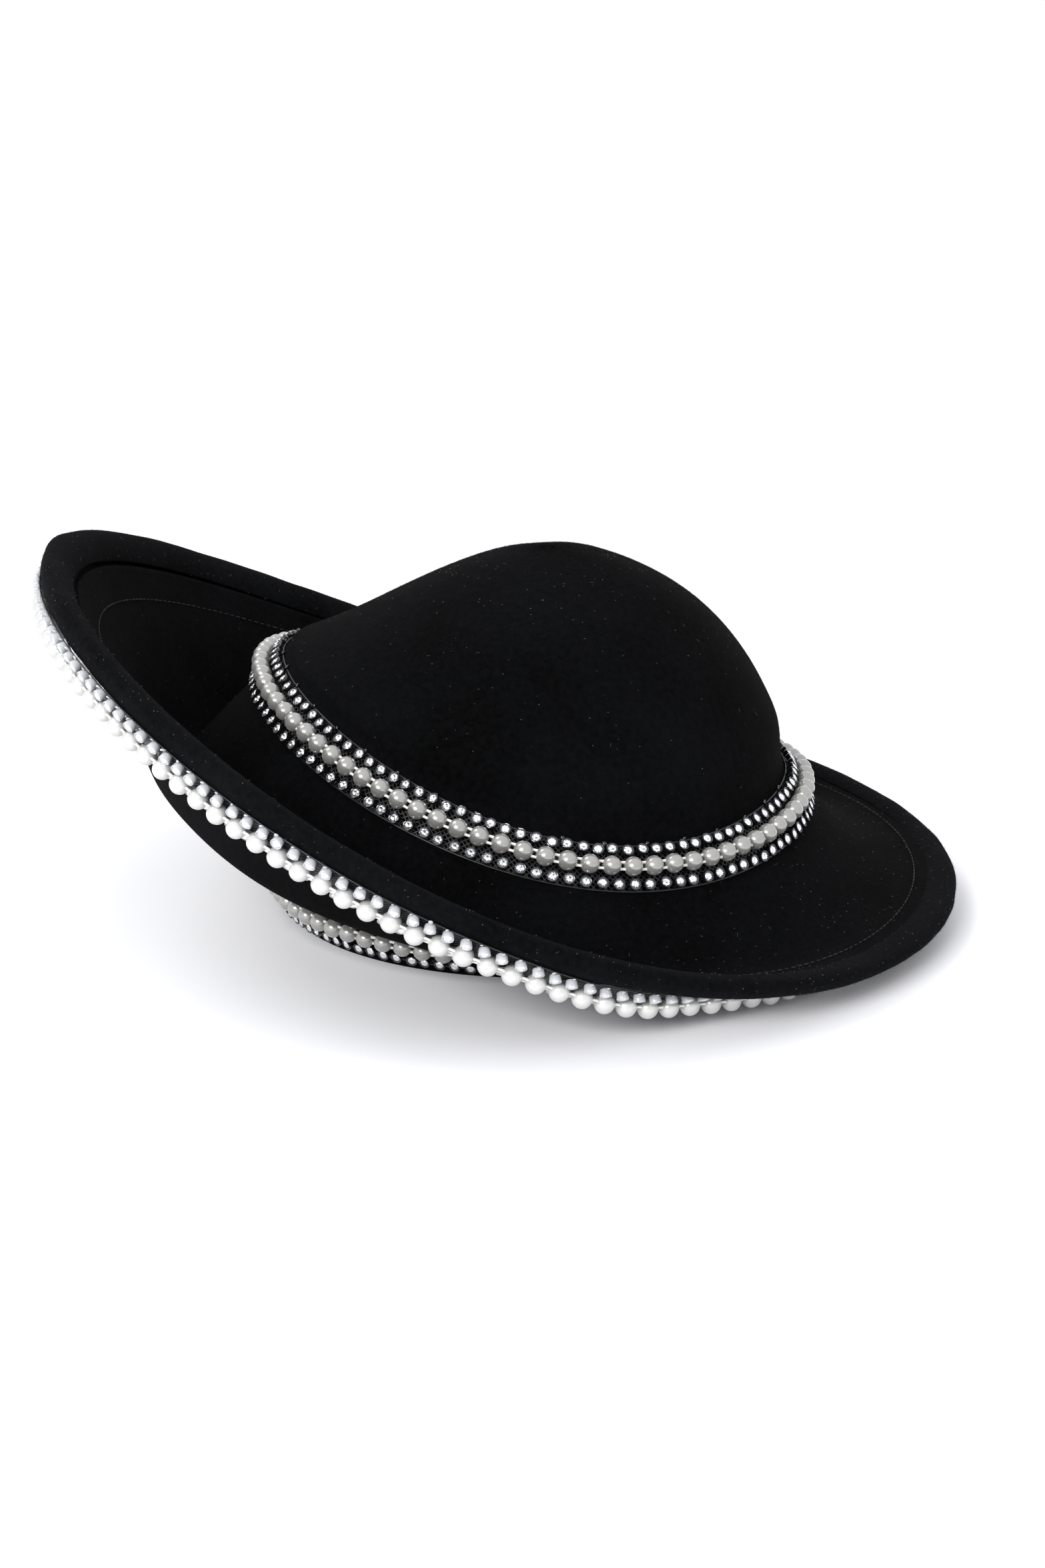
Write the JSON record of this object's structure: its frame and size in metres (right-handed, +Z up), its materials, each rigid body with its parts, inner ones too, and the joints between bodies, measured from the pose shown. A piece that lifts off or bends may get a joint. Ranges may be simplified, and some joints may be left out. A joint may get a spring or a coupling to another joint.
{
  "type": "sombrero",
  "caption": "Felt sombrero with a low domed crown, a deeply dished brim turned up at one side, a rolled edge, and pearl and rhinestone banding round crown, brim and bandeau.",
  "frame": {"origin": "bottom centre of the bounding box; the hat stands on the flat lower edge of its bandeau at z = 0", "axes": "+Z up through the crown, -X to the side where the brim is turned up, +X to the low side"},
  "size_m": [0.3446, 0.332, 0.1394],
  "materials": {
    "felt": "black wool felt with a short nap",
    "pearl": "pearlised white plastic",
    "crystal": "clear faceted stone, silvered behind",
    "black_cup": "glossy black plastic",
    "clear_cup": "clear silvery plastic",
    "net": "black netting",
    "ribbon": "black grosgrain ribbon",
    "buckram": "stiffened open weave",
    "wire": "drawn steel wire",
    "thread": "grey sewing thread"
  },
  "bodies": {
    "root": {"crown_shell": "felt", "brim_shell": "felt", "brim_rolled_edge": "felt", "brim_wire": "wire", "hem_thread": "thread", "bandeau_felt": "felt", "bandeau_buckram": "buckram", "sweatband": "ribbon", "crown_trim_net": "net", "crown_trim_pearls": "pearl", "crown_trim_upper_cups": "black_cup", "crown_trim_upper_stones": "crystal", "crown_trim_lower_cups": "black_cup", "crown_trim_lower_stones": "crystal", "brim_trim_net": "net", "brim_trim_pearls": "pearl", "brim_trim_upper_cups": "clear_cup", "brim_trim_upper_stones": "crystal", "brim_trim_lower_cups": "clear_cup", "brim_trim_lower_stones": "crystal", "tail_trim_net": "net", "tail_trim_pearls": "pearl", "tail_trim_upper_cups": "clear_cup", "tail_trim_upper_stones": "crystal", "tail_trim_lower_cups": "clear_cup", "tail_trim_lower_stones": "crystal", "bandeau_trim_net": "net", "bandeau_trim_pearls": "pearl", "bandeau_trim_upper_cups": "black_cup", "bandeau_trim_upper_stones": "crystal", "bandeau_trim_lower_cups": "black_cup", "bandeau_trim_lower_stones": "crystal"}
  },
  "joints": []
}
